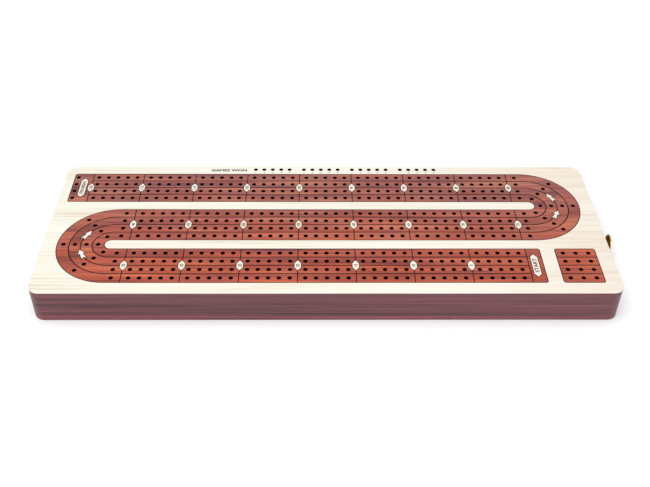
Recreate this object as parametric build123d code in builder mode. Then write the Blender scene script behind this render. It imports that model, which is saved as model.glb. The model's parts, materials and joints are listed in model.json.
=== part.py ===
"""A four-player continuous cribbage board with an inlaid face and an end drawer for the pegs.

The frame is +X to the right along the board's length, towards the drawer, +Y away from the
player who sits at the START side, and +Z up. The origin is under the middle of the board, on
the plane that it rests on. All sizes are millimetres.
"""

import math
import os

from build123d import *

# ---------------------------------------------------------------- driving dimensions
board_length = 457.0
board_width = 164.0
corner_radius = 9.0

base_thickness = 4.5
base_edge_radius = 0.6
channel_height = 12.0
slab_thickness = 12.1
face_thickness = 0.7
face_edge_radius = 0.5

# The track: three straight runs joined by two half-round turns, four lanes wide.
lane_count = 4
counts_per_run = 7  # the finish run has one more
lane_pitch = 9.75
run_pitch = 50.6
count_pitch = 45.6  # from one count line to the next, five holes apart
# Straight stretch from the last count line to the centre of each turn's middle line.
turn_leads = {"left_turn": 12.9, "right_turn": 12.1}
turn_squeeze = 0.045  # share of its width that a lane loses at the crown of a turn
peg_hole_diameter = 3.2
peg_hole_depth = 10.0
peg_hole_chamfer = 0.25
peg_hole_pitch = 8.4
turn_first_hole = 7.45  # from the count line to the turn's first hole
turn_fan_setback = 2.6  # how far short of that centre the turn's slanting rows of holes fan out
turn_fan_angle = 49.0  # between a slanting row and the row at the crown

border_line_width = 0.7
lane_line_width = 1.0
count_line_width = 0.8
count_line_depth = 0.5
marker_line_width = 0.6
panel_corner_radius = 2.2

start_panel_length = 12.0
finish_count_length = 44.3  # the last count is a little shorter than the others
finish_panel_length = 16.7
finish_hole_setback = 3.4  # from the panel's outer edge to the last hole

medallion_width = 5.0
medallion_height = 11.4
medallion_side = 4.8  # length of its straight sides
plaque_width = 5.5
plaque_height = 26.2
plaque_point = 3.2
start_plaque_offset = 5.4  # from the START line
finish_plaque_offset = 6.9  # from the FINISH line
arrow_length = 11.6
arrow_head_width = 5.8
arrow_head_length = 4.6
arrow_barb = 0.9  # how far the head's corners reach back
arrow_shaft_width = 2.1
arrow_tail_width = 3.6
arrow_tail_notch = 1.8
arrow_angle = 28.0  # from the turn's crown

park_gap = 11.5  # maple between the START panel and the peg park
park_length = 33.0
park_columns = 3
park_hole_pitch = 10.2

won_groups = 4
won_group_pitch = 42.9
won_hole_pitch = 7.53
won_first_x = -61.9
won_edge_distance = 4.7  # from the board's back edge

# The drawer and the channel that it slides in.
channel_width = 70.0
drawer_length = 150.0
drawer_travel = 120.0
drawer_back_gap = 2.0
drawer_side_clearance = 0.3
drawer_floor_clearance = 0.2
drawer_top_clearance = 0.4
drawer_front_thickness = 10.0
drawer_front_edge_radius = 0.4
drawer_wall_thickness = 5.0
drawer_bottom_thickness = 2.0
divider_thickness = 2.0
divider_height = 7.0
peg_bay_length = 38.0

stop_pin_diameter = 2.5
stop_pin_height = 1.5
stop_pin_depth = 5.0
stop_groove_depth = 1.7
stop_clearance = 0.35

knob_base_diameter = 8.0
knob_neck_diameter = 5.0
knob_head_diameter = 14.0
knob_projection = 12.5
knob_head_height = 3.2
knob_drop = 0.6  # below the middle of the drawer front
knob_base_height = 1.6
knob_screw_diameter = 3.0
knob_screw_clearance = 0.2
knob_thread_depth = 7.0
knob_screw_head_diameter = 5.6
knob_screw_head_height = 1.8
knob_screw_slot_width = 0.8
knob_screw_slot_depth = 0.7
knob_counterbore_diameter = 6.4
knob_counterbore_depth = 2.4

peg_length = 34.0
peg_head_diameter = 5.6
peg_head_length = 6.0
peg_collar_diameter = 4.2
peg_collar_length = 0.8
peg_collar_slope = 0.6
peg_taper_length = 18.7
peg_shank_diameter = 2.9
peg_tip_diameter = 2.3
peg_gap = 0.7
peg_wall_gap = 0.6
peg_floor_clearance = 0.05

# ---------------------------------------------------------------- places worked out from them
slab_bottom = base_thickness + channel_height
face_bottom = slab_bottom + slab_thickness
face_top = face_bottom + face_thickness
face_plane = Plane.XY.offset(face_bottom)
line_plane = Plane.XY.offset(face_top - count_line_depth)
peg_hole_radius = peg_hole_diameter / 2

lanes_width = lane_count * lane_pitch
run_width = lanes_width + 2 * border_line_width
turn_line = counts_per_run / 2 * count_pitch  # where the turns begin
finish_line = -(turn_line + finish_count_length)
start_panel_end = turn_line + start_panel_length
finish_panel_end = finish_line - finish_panel_length
park_start = start_panel_end + park_gap
park_centre = park_start + park_length / 2

end_face = board_length / 2
channel_end = end_face - drawer_length - drawer_back_gap
drawer_back_end = end_face - drawer_length
drawer_front_back = end_face - drawer_front_thickness
drawer_width = channel_width - 2 * drawer_side_clearance
drawer_inner_width = drawer_width - 2 * drawer_wall_thickness
drawer_low = base_thickness + drawer_floor_clearance
drawer_high = slab_bottom - drawer_top_clearance
drawer_floor = drawer_low + drawer_bottom_thickness
knob_height = (drawer_low + drawer_high) / 2 - knob_drop
stop_pin_x = drawer_back_end + drawer_wall_thickness / 2

run_centres = {"start_run": -run_pitch, "middle_run": 0.0, "finish_run": run_pitch}
run_spans = {
    "start_run": (-turn_line, turn_line),
    "middle_run": (-turn_line, turn_line),
    "finish_run": (finish_line, turn_line),
}
turn_sides = {"left_turn": -1, "right_turn": 1}
turn_heights = {"left_turn": -run_pitch / 2, "right_turn": run_pitch / 2}
# +1 where lane 1 lies towards -Y in a run, or outermost in a turn.
lane_order = {
    "start_run": 1,
    "left_turn": 1,
    "middle_run": -1,
    "right_turn": -1,
    "finish_run": 1,
}


def lane_offset(lane):
    """Distance of a lane's middle line from the middle of the track, for lanes 0 to 3."""
    return (lane - (lane_count - 1) / 2) * lane_pitch


def lane_edges(lane):
    """Offsets of a lane strip's two edges from the middle of the track."""
    low_gap = 0 if lane == 0 else lane_line_width / 2
    high_gap = 0 if lane == lane_count - 1 else lane_line_width / 2
    middle = lane_offset(lane)
    return middle - lane_pitch / 2 + low_gap, middle + lane_pitch / 2 - high_gap


def player_lane(section, lane):
    """The number of the player, 1 to 4, whose lane lies at this place across a section."""
    if section in turn_sides:
        lane = lane_count - 1 - lane
    return lane + 1 if lane_order[section] == 1 else lane_count - lane


def count_lines(run):
    """The x of each count line in a run, its two ends included."""
    lines = [i * count_pitch - turn_line for i in range(counts_per_run + 1)]
    return [finish_line] + lines if run == "finish_run" else lines


# Where the count medallions sit. The START line has none.
medallion_places = {run: [(x, y) for x in count_lines(run)] for run, y in run_centres.items()}
medallion_places["start_run"].pop()

plaque_places = {
    "start_plaque": (turn_line + start_plaque_offset, -run_pitch),
    "finish_plaque": (finish_line - finish_plaque_offset, run_pitch),
}


def turn_arc(turn, offset):
    """Radius of a line round a turn, and its centre's distance from x = 0.

    The further in a line runs, the further out its centre is, so the lanes are a little
    narrower at the crown than in the straight runs.
    """
    return run_pitch / 2 + offset, turn_line + turn_leads[turn] - turn_squeeze * offset


# The direction arrows stand on the middle line of each turn and point the way of play.
arrow_places = {}
for turn, side in turn_sides.items():
    radius, centre = turn_arc(turn, 0)
    arrow_places[turn] = []
    for angle in (-arrow_angle, arrow_angle):
        x = side * (centre + radius * math.cos(math.radians(angle)))
        y = turn_heights[turn] + radius * math.sin(math.radians(angle))
        arrow_places[turn].append(Location((x, y), 90 + side * angle))


def run_holes(run, lane):
    """Peg holes of one lane in a straight run: five in each count, centred between lines."""
    y = run_centres[run] + lane_offset(lane)
    counts = counts_per_run + 1 if run == "finish_run" else counts_per_run
    middles = [turn_line - (i + 0.5) * count_pitch for i in range(counts)]
    return [(m + j * peg_hole_pitch, y) for m in middles for j in (-2, -1, 0, 1, 2)]


def turn_holes(turn, lane):
    """Peg holes of one lane in a turn: one on each straight lead and three round the bend."""
    side, middle = turn_sides[turn], turn_heights[turn]
    radius, centre = turn_arc(turn, lane_offset(lane))
    holes = [
        (side * (turn_line + turn_first_hole), middle - radius),
        (side * (turn_line + turn_first_hole), middle + radius),
    ]
    fan = turn_line + turn_leads[turn] - turn_fan_setback
    lead = centre - fan
    for angle in (-turn_fan_angle, 0, turn_fan_angle):
        along = math.cos(math.radians(angle))
        across = math.sin(math.radians(angle))
        reach = lead * along + math.sqrt(radius**2 - (lead * across) ** 2)
        holes.append((side * (fan + reach * along), middle + reach * across))
    return holes


def finish_holes():
    """The four last holes, one for each lane."""
    x = finish_panel_end + finish_hole_setback
    return [(x, run_pitch + lane_offset(lane)) for lane in range(lane_count)]


def park_holes():
    """The holes where the pegs wait before a game, three for each player."""
    columns = [(i - (park_columns - 1) / 2) * park_hole_pitch for i in range(park_columns)]
    rows = [lane_offset(lane) - run_pitch for lane in range(lane_count)]
    return [(park_centre + x, y) for x in columns for y in rows]


def won_holes():
    """The row of holes that counts the games won, five for each player."""
    y = board_width / 2 - won_edge_distance
    starts = [won_first_x + g * won_group_pitch for g in range(won_groups)]
    return [(x + i * won_hole_pitch, y) for x in starts for i in range(5)]


# ---------------------------------------------------------------- profiles
def marker_profile(outline, grow):
    """A closed outline of straight edges, moved outwards by a distance."""
    with BuildSketch() as profile:
        Polygon(*outline, align=None)
        if grow:
            offset(amount=grow, kind=Kind.INTERSECTION)
    return profile.sketch


def hexagon(width, height, side):
    """A tall hexagon with a point at each end and straight sides."""
    half = [(0, height / 2), (-width / 2, side / 2), (-width / 2, -side / 2)]
    return half + [(-x, -y) for x, y in half]


def arrow_outline():
    """An arrow along +X, with a barbed head and a notched tail."""
    tip, tail = arrow_length / 2, -arrow_length / 2
    neck = tip - arrow_head_length
    upper = [
        (neck - arrow_barb, arrow_head_width / 2),
        (neck, arrow_shaft_width / 2),
        (tail, arrow_tail_width / 2),
    ]
    lower = [(x, -y) for x, y in reversed(upper)]
    return [(tip, 0)] + upper + [(tail + arrow_tail_notch, 0)] + lower


def medallion_profile(grow=0):
    return marker_profile(hexagon(medallion_width, medallion_height, medallion_side), grow)


def plaque_profile(grow=0):
    side = plaque_height - 2 * plaque_point
    return marker_profile(hexagon(plaque_width, plaque_height, side), grow)


def arrow_profile(grow=0):
    return marker_profile(arrow_outline(), grow)


def draw_markers(grow=0, mode=Mode.SUBTRACT):
    """Draws every medallion, plaque and arrow in the open sketch, or takes them out of it."""
    with Locations(*[place for run in medallion_places.values() for place in run]):
        add(medallion_profile(grow), mode=mode)
    with Locations(*plaque_places.values()):
        add(plaque_profile(grow), mode=mode)
    with Locations(*[place for turn in arrow_places.values() for place in turn]):
        add(arrow_profile(grow), mode=mode)


def cut_holes(holes):
    """Takes peg holes out of the sketch."""
    with Locations(*holes):
        Circle(peg_hole_radius, mode=Mode.SUBTRACT)


def turn_band(turn, low, high):
    """The part of a turn between two offsets from the track's middle line."""
    side, middle = turn_sides[turn], turn_heights[turn]
    line = side * turn_line
    with BuildLine() as outline:
        for radius, reach in (turn_arc(turn, low), turn_arc(turn, high)):
            centre = side * reach
            crown = (centre + side * radius, middle)
            ThreePointArc((centre, middle - radius), crown, (centre, middle + radius))
            for way in (-1, 1):
                Line((centre, middle + way * radius), (line, middle + way * radius))
        for way in (-1, 1):
            inner, outer = run_pitch / 2 + low, run_pitch / 2 + high
            Line((line, middle + way * inner), (line, middle + way * outer))
    make_face(outline.edges())


def run_band(run, low, high):
    """The part of a straight run between two offsets from the track's middle line."""
    start, end = run_spans[run]
    with Locations(((start + end) / 2, run_centres[run] + (low + high) / 2)):
        Rectangle(end - start, high - low)


def end_panel(line, end, y, inset):
    """A panel from a line to a rounded end, drawn in from its outer edges by the inset."""
    away = 1 if end > line else -1
    reach = abs(end - line) - inset
    height = run_width - 2 * inset
    with Locations((line + away * (reach / 2 - corner_overlap / 2), y)):
        RectangleRounded(reach + corner_overlap, height, panel_corner_radius - inset)
    with Locations((line - away * corner_overlap, y)):
        Rectangle(2 * corner_overlap, height, mode=Mode.SUBTRACT)


corner_overlap = 2 * panel_corner_radius


def park_block(inset):
    """The outline of the peg park, drawn in by the inset."""
    with Locations((park_centre, -run_pitch)):
        RectangleRounded(
            park_length - 2 * inset, run_width - 2 * inset, panel_corner_radius - inset
        )


def inlay_window(inset):
    """The outline of the whole track and the peg park, drawn in by the inset."""
    half = run_width / 2 - inset
    end_panel(turn_line, start_panel_end, -run_pitch, inset)
    end_panel(finish_line, finish_panel_end, run_pitch, inset)
    for run in run_centres:
        run_band(run, -half, half)
    for turn in turn_sides:
        turn_band(turn, -half, half)
    park_block(inset)


def count_line_marks():
    """The lines across the track, stopped where they meet a medallion."""
    for run, y in run_centres.items():
        with Locations(*[(x, y) for x in count_lines(run)]):
            Rectangle(count_line_width, lanes_width)
    draw_markers(marker_line_width)


def ease_holes(drilled):
    """Breaks the sharp rim of every peg hole in the open part."""
    rims = drilled.edges().filter_by(GeomType.CIRCLE)
    rims = rims.filter_by(lambda rim: math.isclose(rim.radius, peg_hole_radius, abs_tol=0.001))
    chamfer(rims.group_by(Axis.Z)[-1], peg_hole_chamfer)


def cut_count_lines():
    """Cuts the shallow grooves that hold the count lines in the open part."""
    with BuildSketch(line_plane) as grooves:
        count_line_marks()
    extrude(grooves.sketch, amount=2 * count_line_depth, mode=Mode.SUBTRACT)


def dome_points(radius, low, high):
    """Rim, middle and crown of a round dome's profile, centred on the axis it is turned about."""
    rise = high - low
    ball = (radius**2 + rise**2) / (2 * rise)
    half = math.asin(radius / ball) / 2
    middle = (ball * math.sin(half), high - ball + ball * math.cos(half))
    return (radius, low), middle, (0, high)


pieces = {}


def keep(name, piece):
    """Labels a finished piece and remembers it for the export."""
    piece.label = name
    pieces[name] = piece


# ---------------------------------------------------------------- the box of the board
with BuildPart() as base_panel:
    with BuildSketch():
        RectangleRounded(board_length, board_width, corner_radius)
    extrude(amount=base_thickness)
    fillet(base_panel.faces().sort_by(Axis.Z)[0].edges(), base_edge_radius)
keep("base_panel", base_panel.part)

rail_plane = Plane.XY.offset(base_thickness)
rail_width = (board_width - channel_width) / 2
for name, way in (("front_rail", -1), ("back_rail", 1)):
    with BuildPart() as rail:
        with BuildSketch(rail_plane):
            RectangleRounded(board_length, board_width, corner_radius)
            with Locations((0, way * (board_width - rail_width) / 2)):
                Rectangle(board_length, rail_width, mode=Mode.INTERSECT)
        extrude(amount=channel_height)
    keep(name, rail.part)

with BuildPart() as end_block:
    with BuildSketch(rail_plane):
        with Locations(((channel_end - end_face) / 2, 0)):
            Rectangle(channel_end + end_face, channel_width)
    extrude(amount=channel_height)
keep("end_block", end_block.part)

track_holes = [hole for run in run_centres for n in range(lane_count) for hole in run_holes(run, n)]
track_holes += [hole for turn in turn_sides for n in range(lane_count) for hole in turn_holes(turn, n)]
all_holes = track_holes + finish_holes() + park_holes() + won_holes()

with BuildPart() as top_slab:
    with BuildSketch(Plane.XY.offset(slab_bottom)):
        RectangleRounded(board_length, board_width, corner_radius)
    extrude(amount=slab_thickness)
    with BuildSketch(face_plane):
        with Locations(*all_holes):
            Circle(peg_hole_radius)
    extrude(amount=face_thickness - peg_hole_depth, mode=Mode.SUBTRACT)
    with BuildSketch(Plane.XY.offset(slab_bottom)):
        with Locations((stop_pin_x + drawer_travel / 2, 0)):
            SlotCenterToCenter(drawer_travel, stop_pin_diameter + 2 * stop_clearance)
    extrude(amount=stop_groove_depth, mode=Mode.SUBTRACT)
keep("top_slab", top_slab.part)

# ---------------------------------------------------------------- the inlaid face
with BuildPart() as maple_field:
    with BuildSketch(face_plane):
        RectangleRounded(board_length, board_width, corner_radius)
    extrude(amount=face_thickness)
    fillet(maple_field.faces().sort_by(Axis.Z)[-1].edges(), face_edge_radius)
    with BuildSketch(face_plane):
        inlay_window(0)
        with Locations(*won_holes()):
            Circle(peg_hole_radius)
    extrude(amount=face_thickness, mode=Mode.SUBTRACT)
    ease_holes(maple_field)
keep("maple_field", maple_field.part)

with BuildPart() as border_lines:
    with BuildSketch(face_plane):
        inlay_window(0)
    extrude(amount=face_thickness)
    with BuildSketch(face_plane):
        inlay_window(border_line_width)
    extrude(amount=face_thickness, mode=Mode.SUBTRACT)
keep("border_lines", border_lines.part)

for run in run_centres:
    for lane in range(lane_count):
        with BuildPart() as strip:
            with BuildSketch(face_plane):
                run_band(run, *lane_edges(lane))
                draw_markers(marker_line_width)
                cut_holes(run_holes(run, lane))
            extrude(amount=face_thickness)
            ease_holes(strip)
            cut_count_lines()
        keep(f"lane_{player_lane(run, lane)}_{run}", strip.part)

for turn in turn_sides:
    for lane in range(lane_count):
        with BuildPart() as strip:
            with BuildSketch(face_plane):
                turn_band(turn, *lane_edges(lane))
                draw_markers(marker_line_width)
                cut_holes(turn_holes(turn, lane))
            extrude(amount=face_thickness)
            ease_holes(strip)
            cut_count_lines()
        keep(f"lane_{player_lane(turn, lane)}_{turn}", strip.part)

lane_gaps = [
    (edge - lane_line_width / 2, edge + lane_line_width / 2)
    for edge in ((n - lane_count / 2) * lane_pitch for n in range(1, lane_count))
]
for section in (*run_centres, *turn_sides):
    band = turn_band if section in turn_sides else run_band
    with BuildPart() as stringing:
        with BuildSketch(face_plane):
            for gap in lane_gaps:
                band(section, *gap)
            draw_markers(marker_line_width)
        extrude(amount=face_thickness)
        cut_count_lines()
    keep(f"lane_lines_{section}", stringing.part)

with BuildPart() as start_panel:
    with BuildSketch(face_plane):
        end_panel(turn_line, start_panel_end, -run_pitch, border_line_width)
        draw_markers(marker_line_width)
    extrude(amount=face_thickness)
    cut_count_lines()
keep("start_panel", start_panel.part)

with BuildPart() as finish_panel:
    with BuildSketch(face_plane):
        end_panel(finish_line, finish_panel_end, run_pitch, border_line_width)
        draw_markers(marker_line_width)
        cut_holes(finish_holes())
    extrude(amount=face_thickness)
    ease_holes(finish_panel)
    cut_count_lines()
keep("finish_panel", finish_panel.part)

with BuildPart() as peg_park_strips:
    with BuildSketch(face_plane):
        park_block(border_line_width)
        with Locations(*[(park_centre, sum(gap) / 2 - run_pitch) for gap in lane_gaps]):
            Rectangle(park_length, lane_line_width, mode=Mode.SUBTRACT)
        cut_holes(park_holes())
    extrude(amount=face_thickness)
    ease_holes(peg_park_strips)
keep("peg_park_strips", peg_park_strips.part)

with BuildPart() as peg_park_lines:
    with BuildSketch(face_plane):
        with Locations(*[(park_centre, sum(gap) / 2 - run_pitch) for gap in lane_gaps]):
            Rectangle(park_length - 2 * border_line_width, lane_line_width)
    extrude(amount=face_thickness)
keep("peg_park_lines", peg_park_lines.part)

with BuildPart() as count_line_inlays:
    with BuildSketch(line_plane):
        count_line_marks()
    extrude(amount=count_line_depth)
keep("count_lines", count_line_inlays.part)

with BuildPart() as marker_lines:
    with BuildSketch(face_plane):
        draw_markers(marker_line_width, Mode.ADD)
        draw_markers()
    extrude(amount=face_thickness)
keep("marker_lines", marker_lines.part)

for run, places in medallion_places.items():
    with BuildPart() as medallions:
        with BuildSketch(face_plane):
            with Locations(*places):
                add(medallion_profile())
        extrude(amount=face_thickness)
    keep(f"medallions_{run}", medallions.part)

for turn, places in arrow_places.items():
    with BuildPart() as arrows:
        with BuildSketch(face_plane):
            with Locations(*places):
                add(arrow_profile())
        extrude(amount=face_thickness)
    keep(f"arrows_{turn}", arrows.part)

for name, place in plaque_places.items():
    with BuildPart() as plaque:
        with BuildSketch(face_plane):
            with Locations(place):
                add(plaque_profile())
        extrude(amount=face_thickness)
    keep(name, plaque.part)

# ---------------------------------------------------------------- the drawer
floor_plane = Plane.XY.offset(drawer_floor)
wall_height = drawer_high - drawer_floor
wall_y = (drawer_width - drawer_wall_thickness) / 2
box_length = drawer_length - drawer_front_thickness
box_centre = drawer_back_end + box_length / 2
knob_axis = Plane(origin=(end_face, 0, knob_height), x_dir=(0, 1, 0), z_dir=(1, 0, 0))

with BuildPart() as drawer_front:
    with BuildSketch(Plane.XY.offset(drawer_low)):
        with Locations((end_face - drawer_front_thickness / 2, 0)):
            Rectangle(drawer_front_thickness, drawer_width)
    extrude(amount=drawer_high - drawer_low)
    fillet(drawer_front.faces().sort_by(Axis.X)[-1].edges(), drawer_front_edge_radius)
    with BuildSketch(knob_axis):
        Circle(knob_screw_diameter / 2 + knob_screw_clearance)
    extrude(amount=-drawer_front_thickness, mode=Mode.SUBTRACT)
    with BuildSketch(knob_axis.offset(-drawer_front_thickness)):
        Circle(knob_counterbore_diameter / 2)
    extrude(amount=knob_counterbore_depth, mode=Mode.SUBTRACT)
keep("drawer_front", drawer_front.part)

for name, way in (("drawer_side_front", -1), ("drawer_side_back", 1)):
    with BuildPart() as drawer_side:
        with BuildSketch(floor_plane):
            with Locations((box_centre, way * wall_y)):
                Rectangle(box_length, drawer_wall_thickness)
        extrude(amount=wall_height)
    keep(name, drawer_side.part)

with BuildPart() as drawer_back:
    with BuildSketch(floor_plane):
        with Locations((stop_pin_x, 0)):
            Rectangle(drawer_wall_thickness, drawer_inner_width)
    extrude(amount=wall_height)
    with BuildSketch(Plane.XY.offset(drawer_high)):
        with Locations((stop_pin_x, 0)):
            Circle(stop_pin_diameter / 2)
    extrude(amount=-stop_pin_depth, mode=Mode.SUBTRACT)
keep("drawer_back", drawer_back.part)

with BuildPart() as drawer_stop_pin:
    with BuildSketch(Plane.XY.offset(drawer_high - stop_pin_depth)):
        with Locations((stop_pin_x, 0)):
            Circle(stop_pin_diameter / 2)
    extrude(amount=stop_pin_depth + stop_pin_height)
keep("drawer_stop_pin", drawer_stop_pin.part)

with BuildPart() as drawer_bottom:
    with BuildSketch(Plane.XY.offset(drawer_low)):
        with Locations((box_centre, 0)):
            Rectangle(box_length, drawer_width)
    extrude(amount=drawer_bottom_thickness)
keep("drawer_bottom", drawer_bottom.part)

# Two rows of two peg bays at the front, and one open bay behind them.
first_divider = drawer_front_back - peg_bay_length - divider_thickness / 2
second_divider = first_divider - peg_bay_length - divider_thickness
long_divider_end = second_divider + divider_thickness / 2
long_divider_length = drawer_front_back - long_divider_end
lap_height = divider_height / 2

with BuildPart() as long_divider:
    with BuildSketch(floor_plane):
        with Locations((drawer_front_back - long_divider_length / 2, 0)):
            Rectangle(long_divider_length, divider_thickness)
    extrude(amount=divider_height)
    with BuildSketch(floor_plane.offset(lap_height)):
        with Locations((first_divider, 0)):
            Rectangle(divider_thickness, divider_thickness)
    extrude(amount=lap_height, mode=Mode.SUBTRACT)
keep("drawer_long_divider", long_divider.part)

with BuildPart() as cross_dividers:
    with BuildSketch(floor_plane):
        with Locations((first_divider, 0), (second_divider, 0)):
            Rectangle(divider_thickness, drawer_inner_width)
    extrude(amount=divider_height)
    with BuildSketch(floor_plane):
        with Locations((first_divider, 0)):
            Rectangle(divider_thickness, divider_thickness)
    extrude(amount=lap_height, mode=Mode.SUBTRACT)
keep("drawer_cross_dividers", cross_dividers.part)

# The knob is turned about its own axis: the profile's local x is the radius, local y the axis.
knob_profile_plane = Plane(origin=(end_face, 0, knob_height), x_dir=(0, 1, 0), z_dir=(0, 0, -1))
knob_neck_top = knob_projection - knob_head_height
knob_rim_top = knob_neck_top + knob_base_height
with BuildPart() as knob:
    with BuildSketch(knob_profile_plane):
        with BuildLine():
            Polyline(
                (knob_screw_diameter / 2, 0),
                (knob_base_diameter / 2, 0),
                (knob_base_diameter / 2, knob_base_height / 2),
                (knob_neck_diameter / 2 + knob_base_height / 2, knob_base_height),
            )
            Spline(
                (knob_neck_diameter / 2 + knob_base_height / 2, knob_base_height),
                (knob_neck_diameter / 2, knob_neck_top / 2),
                (knob_head_diameter / 2 - knob_base_height / 2, knob_neck_top),
            )
            Polyline(
                (knob_head_diameter / 2 - knob_base_height / 2, knob_neck_top),
                (knob_head_diameter / 2, knob_neck_top + knob_base_height / 2),
                (knob_head_diameter / 2, knob_rim_top),
            )
            ThreePointArc(*dome_points(knob_head_diameter / 2, knob_rim_top, knob_projection))
            Polyline(
                (0, knob_projection),
                (0, knob_thread_depth),
                (knob_screw_diameter / 2, knob_thread_depth),
                (knob_screw_diameter / 2, 0),
            )
        make_face()
    revolve(axis=Axis((end_face, 0, knob_height), (1, 0, 0)))
keep("knob", knob.part)

knob_seat_depth = drawer_front_thickness - knob_counterbore_depth
knob_seat = knob_axis.offset(-knob_seat_depth)
with BuildPart() as knob_screw:
    with BuildSketch(knob_seat):
        Circle(knob_screw_diameter / 2)
    extrude(amount=knob_seat_depth + knob_thread_depth)
    with BuildSketch(knob_seat):
        Circle(knob_screw_head_diameter / 2)
    extrude(amount=-knob_screw_head_height)
    fillet(knob_screw.faces().sort_by(Axis.X)[0].edges(), knob_screw_head_height / 3)
    with BuildSketch(knob_seat.offset(-knob_screw_head_height)):
        Rectangle(knob_screw_head_diameter, knob_screw_slot_width)
    extrude(amount=knob_screw_slot_depth, mode=Mode.SUBTRACT)
keep("knob_screw", knob_screw.part)

# ---------------------------------------------------------------- the pegs, lying in their bays
peg_ball_radius = peg_head_diameter / 2
peg_ball = peg_length - peg_ball_radius
peg_neck_radius = peg_shank_diameter / 2
peg_neck_end = peg_ball - math.sqrt(peg_ball_radius**2 - peg_neck_radius**2)
peg_tilt = math.degrees(math.atan2(peg_ball_radius - peg_tip_diameter / 2, peg_ball))
peg_collar_top = peg_length - peg_head_length - peg_collar_length
peg_collar_bottom = peg_collar_top - peg_collar_length


def turned_peg(plane):
    """One peg turned about the plane's local y axis, from its tip at the origin to its head."""
    with BuildPart() as peg:
        with BuildSketch(plane):
            with BuildLine():
                Polyline(
                    (0, 0),
                    (peg_tip_diameter / 2, 0),
                    (peg_shank_diameter / 2, peg_taper_length),
                    (peg_shank_diameter / 2, peg_collar_bottom - peg_collar_slope),
                    (peg_collar_diameter / 2, peg_collar_bottom),
                    (peg_collar_diameter / 2, peg_collar_top),
                    (peg_neck_radius, peg_neck_end),
                )
                ThreePointArc(
                    (peg_neck_radius, peg_neck_end), (peg_ball_radius, peg_ball), (0, peg_length)
                )
                Line((0, peg_length), (0, 0))
            make_face()
        revolve(axis=Axis(plane.origin, plane.y_dir))
    return peg.part


# Each bay is (row of bays from the front, side of the long divider).
peg_bays = {"pegs_brass": (0, -1), "pegs_nickel": (0, 1), "pegs_black": (1, -1), "pegs_copper": (1, 1)}
peg_tip_lift = peg_tip_diameter / 2 + peg_floor_clearance
for name, (row, side) in peg_bays.items():
    bay_front = drawer_front_back - row * (peg_bay_length + divider_thickness)
    tip_x = bay_front - (peg_bay_length - peg_length) / 2 - peg_length
    wall = side * (drawer_inner_width / 2 - peg_wall_gap - peg_head_diameter / 2)
    group = []
    for n in range(3):
        peg_plane = Plane(
            origin=(tip_x, wall - side * n * (peg_head_diameter + peg_gap), drawer_floor + peg_tip_lift),
            x_dir=(0, 1, 0),
            z_dir=(-math.sin(math.radians(peg_tilt)), 0, math.cos(math.radians(peg_tilt))),
        )
        group.append(turned_peg(Plane(peg_plane.origin, peg_plane.x_dir, -peg_plane.z_dir)))
    keep(name, Compound(children=group))

# ---------------------------------------------------------------- export
os.makedirs("parts", exist_ok=True)
for name, piece in pieces.items():
    export_step(piece, f"parts/{name}.step")
print(len(pieces), "pieces,", len(all_holes), "peg holes")
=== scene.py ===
# %% [markdown]
# # A four-player cribbage board
#
# This lesson dresses a finished CAD model. The board's shape, its inlays, its 516 peg holes and
# its drawer are already modelled, so the work here is what CAD leaves out: lettering burnt into
# the inlays, wood with real grain, metal with the marks of the lathe, and light.
#
# Everything is in metres. +X runs along the board towards the drawer, +Y away from the player
# at the START side, and +Z up. The board rests on z = 0.

import json
import math

import bpy
from mathutils import Matrix, Vector


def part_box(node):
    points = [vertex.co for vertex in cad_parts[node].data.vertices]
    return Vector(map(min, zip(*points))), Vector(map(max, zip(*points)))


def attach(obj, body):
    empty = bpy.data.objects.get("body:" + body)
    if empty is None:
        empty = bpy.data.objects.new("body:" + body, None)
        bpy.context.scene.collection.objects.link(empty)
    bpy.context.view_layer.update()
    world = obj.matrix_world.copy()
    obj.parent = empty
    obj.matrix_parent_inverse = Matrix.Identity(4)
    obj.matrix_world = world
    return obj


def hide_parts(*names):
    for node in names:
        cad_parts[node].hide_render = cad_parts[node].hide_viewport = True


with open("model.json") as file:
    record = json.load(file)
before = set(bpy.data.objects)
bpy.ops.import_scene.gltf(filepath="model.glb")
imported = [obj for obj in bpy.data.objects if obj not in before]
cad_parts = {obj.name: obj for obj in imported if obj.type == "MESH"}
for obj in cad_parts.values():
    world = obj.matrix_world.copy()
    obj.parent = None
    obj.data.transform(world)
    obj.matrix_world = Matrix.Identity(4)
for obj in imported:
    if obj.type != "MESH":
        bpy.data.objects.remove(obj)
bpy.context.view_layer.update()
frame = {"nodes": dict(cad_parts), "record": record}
nodes = frame["nodes"]
slots = {part["node"]: part["material_slot"] for part in frame["record"]["subparts"]}
mm = 0.001
face_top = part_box("maple_field")[1][2]
board_half_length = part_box("base_panel")[1][0]
board_half_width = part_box("base_panel")[1][1]
print(len(nodes), "parts; the playing face is at", round(face_top / mm, 2), "mm")

# %% [markdown]
# ## Tools for shaping
#
# Blender's operators act on whatever is selected, as they do by hand, so each step here first
# selects exactly one object. A copy of a CAD part comes as loose triangles. Merging the points
# that coincide, and dissolving the flat triangles into larger faces, makes it a clean solid
# that can be cut.


# %% Select one object, and copy a CAD part as a clean solid
def select_only(*objects):
    """Leaves just these objects selected, the last one active."""
    bpy.ops.object.select_all(action="DESELECT")
    for thing in objects:
        thing.select_set(True)
    bpy.context.view_layer.objects.active = objects[-1]


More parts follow.
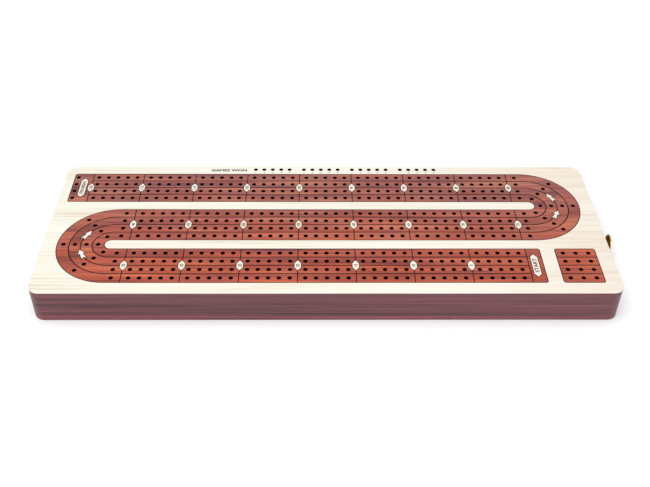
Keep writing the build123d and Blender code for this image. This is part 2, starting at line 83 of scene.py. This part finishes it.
def solid_copy(node_name, piece_name):
    """An own copy of a CAD part, with its points merged and its flat triangles joined."""
    piece = bpy.data.objects.new(piece_name, nodes[node_name].data.copy())
    bpy.context.scene.collection.objects.link(piece)
    piece.data.materials.clear()
    select_only(piece)
    bpy.ops.object.mode_set(mode="EDIT")
    bpy.ops.mesh.select_all(action="SELECT")
    bpy.ops.mesh.remove_doubles(threshold=0.001 * mm)
    bpy.ops.mesh.dissolve_limited(angle_limit=math.radians(0.2))
    bpy.ops.object.mode_set(mode="OBJECT")
    return piece


def island_centres(piece):
    """The middle of each separate solid in a piece, from left to right."""
    near = {vertex.index: [] for vertex in piece.data.vertices}
    for edge in piece.data.edges:
        near[edge.vertices[0]].append(edge.vertices[1])
        near[edge.vertices[1]].append(edge.vertices[0])
    centres = []
    while near:
        reached = [next(iter(near))]
        island = set(reached)
        while reached:
            for neighbour in near.pop(reached.pop()):
                if neighbour not in island:
                    island.add(neighbour)
                    reached.append(neighbour)
        places = [piece.data.vertices[index].co for index in island]
        low = Vector(min(place[axis] for place in places) for axis in range(3))
        high = Vector(max(place[axis] for place in places) for axis in range(3))
        centres.append((low + high) / 2)
    return sorted(centres, key=lambda centre: centre.x)


# %% [markdown]
# ## Tools for materials
#
# A procedural material is a small graph of nodes. `add` makes one node, and each of its inputs
# is either given a value or joined to the output of another node. All patterns read Object
# coordinates. Every part keeps its place in its own mesh, so those coordinates are the board's
# own, and a grain runs on from one part into the next as it does in one plank.


# %% Start a material, and add nodes to it
def start_material(name, **inputs):
    """A new material, its node tree and its main shader, with the shader's inputs set."""
    material = bpy.data.materials.new(name)
    material.use_nodes = True
    tree = material.node_tree
    shader = tree.nodes["Principled BSDF"]
    for label, value in inputs.items():
        shader.inputs[label.replace("_", " ")].default_value = value
    return material, tree, shader


def add(tree, kind, inputs=None, **settings):
    """Adds a node. An input is given a value, or joined to another node's output."""
    made = tree.nodes.new("ShaderNode" + kind)
    for label, value in settings.items():
        setattr(made, label, value)
    for label, value in (inputs or {}).items():
        if isinstance(value, bpy.types.NodeSocket):
            tree.links.new(value, made.inputs[label])
        else:
            made.inputs[label].default_value = value
    return made


def figure(tree, size, offset=(0, 0, 0), detail=3, roughness=0.55, distortion=0.0):
    """A soft random pattern, 0 to 1, with features of this size along X, Y and Z in metres."""
    place = add(tree, "TexCoord").outputs["Object"]
    scale = tuple(1 / length for length in size)
    mapped = add(tree, "Mapping", {"Vector": place, "Location": offset, "Scale": scale})
    noise = add(
        tree,
        "TexNoise",
        {
            "Vector": mapped.outputs["Vector"],
            "Scale": 1.0,
            "Detail": detail,
            "Roughness": roughness,
            "Distortion": distortion,
        },
    )
    return noise.outputs["Fac"]


def ramp(tree, factor, *stops):
    """Turns a 0 to 1 value into a colour. Each stop is (position, (red, green, blue))."""
    made = add(tree, "ValToRGB", {"Fac": factor})
    elements = made.color_ramp.elements
    while len(elements) < len(stops):
        elements.new(0.5)
    for element, (position, colour) in zip(elements, stops):
        element.position = position
        element.color = (*colour, 1.0)
    return made.outputs["Color"]


def blend_colours(tree, factor, first, second, mode="MIX"):
    """Mixes two colours, each a colour or another node's output."""
    made = add(tree, "Mix", data_type="RGBA", blend_type=mode)
    for index, value in ((0, factor), (6, first), (7, second)):
        if isinstance(value, bpy.types.NodeSocket):
            tree.links.new(value, made.inputs[index])
        else:
            made.inputs[index].default_value = value if index == 0 else (*value, 1.0)
    return made.outputs[2]


def calculate(tree, operation, *values):
    """One step of arithmetic on numbers or on other nodes' outputs."""
    made = add(tree, "Math", operation=operation)
    for index, value in enumerate(values):
        if isinstance(value, bpy.types.NodeSocket):
            tree.links.new(value, made.inputs[index])
        else:
            made.inputs[index].default_value = value
    return made.outputs[0]


def vary(tree, base, pattern, strength, middle=0.5):
    """Moves a value up and down by a pattern, which counts as level at its middle."""
    swing = calculate(tree, "SUBTRACT", pattern, middle)
    return calculate(tree, "MULTIPLY_ADD", swing, strength, base)


def ease(tree, value, low, high, start=0.0, end=1.0):
    """Rises smoothly from start to end as the value goes from low to high."""
    inputs = {"Value": value, "From Min": low, "From Max": high, "To Min": start, "To Max": end}
    made = add(tree, "MapRange", inputs, interpolation_type="SMOOTHSTEP")
    return made.outputs["Result"]


def raise_grain(tree, shader, height, distance, strength=1.0):
    """Gives the shader a fine relief, this many metres deep."""
    inputs = {"Height": height, "Distance": distance, "Strength": strength}
    bump = add(tree, "Bump", inputs)
    tree.links.new(bump.outputs["Normal"], shader.inputs["Normal"])


# %% [markdown]
# ## Wood
#
# Wood looks like wood because of three things at three scales: broad bands where the colour
# drifts, streaks a millimetre or two wide that run a long way along the plank, and fibres and
# pores too fine to count. Each is the same soft noise, stretched along the grain. Because the
# pattern fills space, a board's end shows end grain without any further work.
#
# The peg holes are drilled after the inlay is finished. Their walls and rims are painted near
# black: painted shade, standing in for the shade deep in the narrow holes. A wall stands upright
# and a rim slopes, so the material can tell both by their normals, and the board's own outside is
# left out by its distance from the middle. The painted shade is matt as well as black: without
# that, the sky's reflection would turn the holes grey.


# %% Paint shade on the walls and rims of drilled holes
# The near-black colour of the painted shade in the peg holes.
burnt = (0.004, 0.002, 0.002)
flat_from = 0.9
steep_from = 0.72
rim_margin = 2.65 * mm
rim_fade = 0.15 * mm


def burn_holes(tree, shader, colour):
    """The colour, with painted shade, near black, on steep faces that are inside the board's
    outline.
    """
    geometry = add(tree, "NewGeometry")
    normal = add(tree, "SeparateXYZ", {"Vector": geometry.outputs["Normal"]})
    upright = calculate(tree, "ABSOLUTE", normal.outputs["Z"])
    wall = ease(tree, upright, steep_from, flat_from, 1.0, 0.0)
    place = add(tree, "SeparateXYZ", {"Vector": add(tree, "TexCoord").outputs["Object"]})
    for axis, half in (("X", board_half_length), ("Y", board_half_width)):
        distance = calculate(tree, "ABSOLUTE", place.outputs[axis])
        limit = half - rim_margin
        inside = ease(tree, distance, limit - rim_fade, limit, 1.0, 0.0)
        wall = calculate(tree, "MULTIPLY", wall, inside)
    for label in ("Specular IOR Level", "Coat Weight"):
        sheen = shader.inputs[label].default_value
        tree.links.new(ease(tree, wall, 0.0, 1.0, sheen, 0.0), shader.inputs[label])
    return blend_colours(tree, wall, colour, burnt)


# %% A wood material with drift, streaks, fibres and pores
fibre_length = 7.0 * mm
fibre_width = 0.22 * mm
fibre_strength = 0.35
pore_length = 2.5 * mm
pore_width = 0.11 * mm
grain_relief = 0.012 * mm
darkest_at = 0.26
lightest_at = 0.74


def stretched(along, length, width):
    """The size of a feature that is long in the direction of the grain."""
    return tuple(length if axis == along else width for axis in "XYZ")


def make_wood(
    name,
    colours,
    streak,
    along="X",
    offset=(0, 0, 0),
    gloss=0.40,
    coat=0.08,
    sheen=0.32,
    pores=0.35,
    drift_strength=0.5,
    drilled=False,
    tint=None,
):
    """Wood with its grain along one axis. The colours run from its dark streaks to its light."""
    material, tree, shader = start_material(
        name,
        Roughness=gloss,
        Coat_Weight=coat,
        Coat_Roughness=0.18,
        Specular_IOR_Level=sheen,
    )
    length = streak[0] * mm
    width = streak[1] * mm
    drift = figure(tree, stretched(along, 3 * length, 9 * width), offset, 2)
    streaks = figure(tree, stretched(along, length, width), offset, 5, 0.6, 0.15)
    fibres = figure(tree, stretched(along, fibre_length, fibre_width), offset, 3, 0.65)
    tone = vary(tree, streaks, drift, drift_strength)
    tone = vary(tree, tone, fibres, fibre_strength)
    gap = (lightest_at - darkest_at) / (len(colours) - 1)
    stops = [(darkest_at + gap * place, colour) for place, colour in enumerate(colours)]
    colour = ramp(tree, tone, *stops)
    if tint:
        colour = tint(tree, colour)
    pore = figure(tree, stretched(along, pore_length, pore_width), offset, 1)
    pore = ease(tree, pore, 0.62, 0.74)
    dark = tuple(channel * 0.35 for channel in colours[0])
    colour = blend_colours(tree, calculate(tree, "MULTIPLY", pore, pores), colour, dark)
    # Painted shade: the walls and rims of the peg holes are painted near black.
    if drilled:
        colour = burn_holes(tree, shader, colour)
    tree.links.new(colour, shader.inputs["Base Color"])
    rough = ease(tree, fibres, 0.3, 0.7, gloss - 0.05, gloss + 0.09)
    tree.links.new(rough, shader.inputs["Roughness"])
    relief = calculate(tree, "SUBTRACT", fibres, calculate(tree, "MULTIPLY", pore, 0.8))
    raise_grain(tree, shader, relief, grain_relief)
    return material


# %% [markdown]
# ### The woods of this board
#
# The field is hard maple, almost white, with a faint cream streak. The tracks are bloodwood, a
# red-orange wood with purple-brown streaks. Towards the back, the bloodwood is painted darker and
# more purple: painted shade, and a painted bluish reflection of the sky. The body is the same
# timber in the solid, oiled and darker, and the thin lines are dyed black.


# %% How the two inlay woods change across the board, with painted shade and sky reflection on the bloodwood
# Painted shade and painted sky reflection: this multiplier darkens the red and adds blue towards the
# back.
back_shade_and_glare_tint = (0.74, 1.42, 2.6)
pink_lean = (0.975, 0.88, 0.87)


def where(tree, axis):
    """The place along one of the board's axes, in metres."""
    place = add(tree, "SeparateXYZ", {"Vector": add(tree, "TexCoord").outputs["Object"]})
    return place.outputs[axis]


def lean_purple(tree, colour):
    """Paints shade and a bluish sky reflection into bloodwood: orange at the front, purple-brown at
    the back.
    """
    # Painted shade: a gradient along Y, darker towards the back, broken by random patches of real
    # variation.
    back_shade_gradient = ease(tree, where(tree, "Y"), -board_half_width, board_half_width, 0.0, 0.9)
    patches = figure(tree, (70 * mm, 5 * mm, 5 * mm), (5, 3, 1), 3)
    amount = vary(tree, back_shade_gradient, patches, 1.5)
    amount = add(tree, "Clamp", {"Value": amount}).outputs["Result"]
    return blend_colours(tree, amount, colour, back_shade_and_glare_tint, "MULTIPLY")


def lean_pink(tree, colour):
    """Turns maple from white at the front to a faint pink at the right and the back."""
    right = ease(tree, where(tree, "X"), 0.2 * board_half_length, board_half_length, 0.0, 0.65)
    back = ease(tree, where(tree, "Y"), 0.5 * board_half_width, board_half_width, 0.0, 0.3)
    patches = figure(tree, (160 * mm, 30 * mm, 30 * mm), (2, 7, 1), 2)
    amount = calculate(tree, "ADD", right, back)
    amount = vary(tree, amount, patches, 0.9, 0.45)
    amount = add(tree, "Clamp", {"Value": amount}).outputs["Result"]
    return blend_colours(tree, amount, colour, pink_lean, "MULTIPLY")


# %% Maple, bloodwood and black stringing
maple_tones = [
    (0.66, 0.57, 0.44),
    (0.76, 0.73, 0.62),
    (0.79, 0.775, 0.68),
    (0.81, 0.80, 0.72),
]
bloodwood_tones = [
    (0.17, 0.026, 0.017),
    (0.33, 0.052, 0.025),
    (0.43, 0.074, 0.031),
    (0.60, 0.130, 0.046),
]
case_tones = [
    (0.050, 0.020, 0.028),
    (0.115, 0.038, 0.047),
    (0.150, 0.049, 0.058),
    (0.235, 0.070, 0.077),
]
base_tones = [
    (0.085, 0.028, 0.038),
    (0.165, 0.050, 0.062),
    (0.215, 0.064, 0.076),
    (0.30, 0.088, 0.100),
]
black_tones = [
    (0.003, 0.002, 0.003),
    (0.005, 0.004, 0.004),
    (0.010, 0.007, 0.008),
]

maple = make_wood(
    "maple",
    maple_tones,
    streak=(110, 2.4),
    gloss=0.42,
    pores=0.10,
    drift_strength=0.7,
    drilled=True,
    tint=lean_pink,
)


def make_inlay_bloodwood(name, offset):
    """Bloodwood for the track. Each offset is another strip cut from the same timber."""
    return make_wood(
        name,
        bloodwood_tones,
        streak=(55, 1.5),
        offset=offset,
        drift_strength=0.9,
        drilled=True,
        tint=lean_purple,
    )


lane_woods = {}
for number in (1, 2, 3, 4):
    offset = (number * 7.3, number * 11.9, 0)
    lane_wood = make_inlay_bloodwood(f"bloodwood_lane_{number}", offset)
    lane_woods[f"lane_wood_{number}"] = lane_wood
panel_wood = make_inlay_bloodwood("bloodwood_panels", (41, 17, 0))

case_streak = (130, 1.5)
case_wood = make_wood("case_bloodwood", case_tones, case_streak, pores=0.5)
slab_wood = make_wood("slab_bloodwood", case_tones, case_streak, pores=0.5, drilled=True)
base_wood = make_wood("base_bloodwood", base_tones, case_streak, offset=(3, 8, 5), pores=0.5)
stringing = make_wood(
    "black_stringing",
    black_tones,
    streak=(20, 0.6),
    gloss=0.6,
    coat=0.0,
    sheen=0.15,
    pores=0.2,
)
print(len(bpy.data.materials), "materials so far")

# %% [markdown]
# The drawer is made of plain light timber where it doesn't show. Its sides and bottom run along
# the drawer, while its back and the dividers across it run the other way, as they would be cut.

# %% The drawer's own timber, in two directions
drawer_tones = [
    (0.50, 0.33, 0.19),
    (0.64, 0.46, 0.29),
    (0.71, 0.54, 0.36),
    (0.78, 0.62, 0.44),
]
drawer_streak = (70, 2.0)
drawer_wood = make_wood("drawer_timber", drawer_tones, drawer_streak, gloss=0.5, coat=0.0)
drawer_wood_across = make_wood(
    "drawer_timber_across",
    drawer_tones,
    drawer_streak,
    along="Y",
    offset=(9, 2, 4),
    gloss=0.5,
    coat=0.0,
)
print("the drawer's sides run along X, its back and dividers along Y")

# %% [markdown]
# ## Metal
#
# Turned brass isn't a perfect mirror. The tool leaves rings round the axis, and handling leaves
# faint smears in the polish. The rings come from noise that changes fast along the knob's axis
# and hardly at all round it. The smears are broad and only change the roughness.


# %% Polished metal with turning marks and handling smears
ring_width = 0.16 * mm
ring_reach = 30.0 * mm
ring_relief = 0.010 * mm
smear_size = (2.6 * mm, 3.2 * mm, 2.1 * mm)


def make_metal(name, colour, gloss):
    """Turned metal. The axis of the turning is X, as it is for the knob and for the lying pegs."""
    material, tree, shader = start_material(name, Metallic=1.0, Roughness=gloss)
    rings = figure(tree, (ring_width, ring_reach, ring_reach), (0, 0, 0), 2)
    smears = figure(tree, smear_size, (4, 1, 7), 4)
    tarnish = tuple(channel * 0.62 for channel in colour)
    bright = tuple(min(1, channel * 1.08) for channel in colour)
    tone = ramp(tree, smears, (0.25, tarnish), (0.52, colour), (0.80, bright))
    tree.links.new(tone, shader.inputs["Base Color"])
    rough = ease(tree, smears, 0.3, 0.75, gloss + 0.12, gloss - 0.02)
    tree.links.new(rough, shader.inputs["Roughness"])
    raise_grain(tree, shader, rings, ring_relief)
    return material


brass = make_metal("turned_brass", (0.66, 0.40, 0.10), 0.20)
nickel = make_metal("nickel_plate", (0.74, 0.72, 0.68), 0.17)
black_metal = make_metal("black_plate", (0.035, 0.034, 0.038), 0.28)
copper = make_metal("copper_plate", (0.82, 0.38, 0.24), 0.20)
print(len(bpy.data.materials), "materials with the metals")

# %% [markdown]
# ## Dress the CAD parts
#
# The model's record names a finish for each part, so most parts take their material from that
# name. A few need a choice of their own: the base panel is a separate board of a lighter red,
# the slab under the face is drilled, and the pieces across the drawer have their grain across it.

# %% Give every CAD part its material
finishes = {
    "maple": maple,
    "case_wood": case_wood,
    "panel_wood": panel_wood,
    "black_stringing": stringing,
    "drawer_wood": drawer_wood,
    "brass": brass,
    "nickel": nickel,
    "black_metal": black_metal,
    "copper": copper,
    **lane_woods,
}
own_finishes = {
    "base_panel": base_wood,
    "top_slab": slab_wood,
    "drawer_back": drawer_wood_across,
    "drawer_cross_dividers": drawer_wood_across,
}
for name, part in nodes.items():
    material = own_finishes.get(name, finishes[slots[name]])
    for material_slot in part.material_slots:
        material_slot.material = material
used = {part.material_slots[0].material.name for part in nodes.values()}
print("finished", len(nodes), "parts in", len(used), "materials")

# %% [markdown]
# ## Lettering
#
# The numbers and the few words are burnt into the maple, shallow and brown at the bottom. The
# track's letters are a golden brown, and the games-won row is burnt darker. Real depth is better
# than paint, because it catches the light and survives a close look. So each number is made as a
# solid, all those for one part are joined, and the lot is cut out of a copy of that part in one
# go. The cut faces keep the burnt material of the solid that made them. The numbers stand
# sideways, to be read by a player who turns the board on end.


# %% Burnt maple, for the bottoms of the letters
char_relief = 0.03 * mm


def make_scorch(name, dark, light):
    """Scorched maple: matt, and mottled along the grain between two browns."""
    material, tree, shader = start_material(name, Roughness=0.8, Specular_IOR_Level=0.1)
    char = figure(tree, (2.0 * mm, 0.3 * mm, 0.3 * mm), (0, 0, 0), 4)
    tone = ramp(tree, char, (0.3, dark), (0.7, light))
    tree.links.new(tone, shader.inputs["Base Color"])
    raise_grain(tree, shader, char, char_relief)
    return material


golden_burn = make_scorch("golden_burn", (0.065, 0.022, 0.004), (0.19, 0.075, 0.012))
dark_burn = make_scorch("dark_burn", (0.006, 0.003, 0.002), (0.018, 0.009, 0.006))


# %% Make words as solids, ready to cut
burn_depth = 0.22 * mm


def letter_solid(words, place, height, burn, turn=0.0, length=None, weight=0.03):
    """Words as a closed solid, half above the playing face and half below it."""
    bpy.ops.object.select_all(action="DESELECT")
    bpy.ops.object.text_add()
    text = bpy.context.object
    text.data.body = words
    text.data.resolution_u = 3
    text.data.extrude = 0.5
    text.data.offset = weight
    bpy.ops.object.convert(target="MESH")
    letters = bpy.context.object
    places = [vertex.co for vertex in letters.data.vertices]
    low = [min(corner[axis] for corner in places) for axis in range(3)]
    high = [max(corner[axis] for corner in places) for axis in range(3)]
    middle = [(a + b) / 2 for a, b in zip(low, high)]
    size = height / (high[1] - low[1])
    across = size if length is None else length / (high[0] - low[0])
    letters.data.transform(Matrix.Translation([-value for value in middle]))
    letters.scale = (across, size, 2 * burn_depth)
    letters.rotation_euler = (0, 0, turn)
    letters.location = (place[0], place[1], face_top)
    bpy.ops.object.transform_apply(location=True, rotation=True, scale=True)
    bpy.ops.object.mode_set(mode="EDIT")
    bpy.ops.mesh.select_all(action="SELECT")
    bpy.ops.mesh.remove_doubles(threshold=0.0005 * mm)
    bpy.ops.mesh.normals_make_consistent(inside=False)
    bpy.ops.object.mode_set(mode="OBJECT")
    letters.data.materials.clear()
    letters.data.materials.append(burn)
    return letters


# %% Cut a group of words out of a copy of a part
def level_area(piece, way, first_material):
    """The area of a piece's level faces that look up (1) or down (-1), in square millimetres."""
    faces = [face for face in piece.data.polygons if face.material_index >= first_material]
    return sum(face.area for face in faces if face.normal.z * way > 0.99) / mm**2


def engrave(piece, solids, material):
    """Cuts the joined solids out of a piece, whose uncut faces keep the material."""
    piece.data.materials.append(material)
    select_only(*solids)
    bpy.ops.object.join()
    cutter = bpy.context.object
    wanted = level_area(cutter, -1, 0)
    cut = piece.modifiers.new("burnt letters", "BOOLEAN")
    cut.operation = "DIFFERENCE"
    cut.solver = "EXACT"
    cut.use_self = True
    cut.material_mode = "TRANSFER"
    cut.object = cutter
    select_only(piece)
    bpy.ops.object.modifier_apply(modifier=cut.name)
    bpy.data.objects.remove(cutter)
    burnt_area = level_area(piece, 1, 1)
    print("letters cover", round(wanted, 2), "and are cut", round(burnt_area, 2), "square mm")


def finish_inlay(piece, node_name):
    """Hands a finished piece over: it moves with the board and stands for the CAD part."""
    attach(piece, "board")
    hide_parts(node_name)
    print(piece.name, "has", len(piece.data.polygons), "faces")


# %% Number the count medallions
number_height = 2.9 * mm
sideways = math.radians(90)
count_step = 5
middle_run_from = 40
finish_run_from = 80
counts = {
    "medallions_start_run": lambda place, total: count_step * (total - place),
    "medallions_middle_run": lambda place, total: middle_run_from + count_step * place,
    "medallions_finish_run": lambda place, total: finish_run_from + count_step * (total - 1 - place),
}
for node_name, count in counts.items():
    piece = solid_copy(node_name, "numbered_" + node_name)
    centres = island_centres(piece)
    numbers = [
        letter_solid(str(count(place, len(centres))), centre, number_height, golden_burn, sideways)
        for place, centre in enumerate(centres)
    ]
    engrave(piece, numbers, maple)
    finish_inlay(piece, node_name)

# %% Letter the two plaques
word_height = 3.3 * mm
plaque_words = {
    "start_plaque": ("START", 16.5 * mm),
    "finish_plaque": ("FINISH", 17.5 * mm),
}
for node_name, (word, length) in plaque_words.items():
    piece = solid_copy(node_name, "lettered_" + node_name)
    centre = island_centres(piece)[0]
    letters = letter_solid(word, centre, word_height, golden_burn, sideways, length)
    engrave(piece, [letters], maple)
    finish_inlay(piece, node_name)

# %% [markdown]
# The games-won row has its name at its left end and a small number under each hole. The field
# is one large part, and its holes don't say where they are, so the row is laid out again here
# from the board's edge with the maker's own spacings. Its name is burnt in four passes a hair
# apart, which broadens its strokes. The passes overlap, so what they cover together is more than
# what is cut.

# %% Letter the games-won row
won_edge_distance = 4.7 * mm
won_first_x = -61.9 * mm
won_hole_pitch = 7.53 * mm
won_group_pitch = 42.9 * mm
won_y = board_half_width - won_edge_distance
small_number_height = 1.7 * mm
small_number_drop = 4.4 * mm
title = "GAMES WON"
title_length = 31.2 * mm
title_x = won_first_x - 23.7 * mm
title_y = won_y - 1.0 * mm
pass_step = 0.14 * mm

field = solid_copy("maple_field", "lettered_maple_field")
won_letters = []
for right, up in ((-1, -1), (-1, 1), (1, -1), (1, 1)):
    place = (title_x + right * pass_step, title_y + up * pass_step)
    one_pass = letter_solid(title, place, word_height, dark_burn, 0.0, title_length, 0.0)
    won_letters.append(one_pass)
for group in range(4):
    for hole in range(5):
        x = won_first_x + group * won_group_pitch + hole * won_hole_pitch
        place = (x, won_y - small_number_drop)
        won_letters.append(letter_solid(str(hole + 1), place, small_number_height, dark_burn))
engrave(field, won_letters, maple)
finish_inlay(field, "maple_field")

# %% [markdown]
# ## Floor, light and camera
#
# The board lies on a plain pale floor under soft light: a bright, even sky, one wide panel
# overhead, and a smaller one in front that gives the case a little shape. The camera looks down
# at about forty degrees from the START side, through a 50 mm lens.

# %% The floor
bpy.ops.object.select_all(action="DESELECT")
bpy.ops.mesh.primitive_plane_add(size=12.0, location=(0, 0, 0))
floor = bpy.context.object
floor.name = "studio_floor"
paper, paper_tree, paper_shader = start_material("white_paper", Roughness=0.9)
mottle = figure(paper_tree, (0.5, 0.5, 0.5))
paper_tone = ramp(paper_tree, mottle, (0.3, (0.955, 0.955, 0.955)), (0.7, (0.97, 0.97, 0.97)))
paper_tree.links.new(paper_tone, paper_shader.inputs["Base Color"])
floor.data.materials.append(paper)

# %% The sky and the soft panels
scene = bpy.context.scene
scene.view_settings.view_transform = "Standard"
sky = bpy.data.worlds.new("studio_sky")
sky.use_nodes = True
background = sky.node_tree.nodes["Background"]
background.inputs["Color"].default_value = (1.0, 1.0, 1.0, 1.0)
background.inputs["Strength"].default_value = 0.74
scene.world = sky


def soft_panel(name, place, aim, size, power):
    """A square soft light at one place, turned to face another."""
    bpy.ops.object.light_add(type="AREA", location=place)
    panel = bpy.context.object
    panel.name = name
    panel.data.size = size
    panel.data.energy = power
    facing = Vector(aim) - Vector(place)
    panel.rotation_euler = facing.to_track_quat("-Z", "Y").to_euler()
    return panel


soft_panel("overhead_panel", (-0.3, -0.2, 1.6), (0, 0, 0), 1.6, 16.0)
soft_panel("front_panel", (0.5, -1.6, 0.9), (0, 0, 0.02), 0.9, 6.0)

# %% The camera
camera_place = Vector((-10.24 * mm, -577.97 * mm, face_top + 473.57 * mm))
tilt = math.radians(90 - 40.533)
swing = math.radians(-0.942)
roll = math.radians(0.627)
camera = bpy.data.objects.new("camera", bpy.data.cameras.new("camera"))
scene.collection.objects.link(camera)
camera.data.sensor_width = 36.0
camera.data.lens = 49.9
camera.matrix_world = (
    Matrix.Translation(camera_place)
    @ Matrix.Rotation(swing, 4, "Z")
    @ Matrix.Rotation(tilt, 4, "X")
    @ Matrix.Rotation(roll, 4, "Z")
)
scene.camera = camera
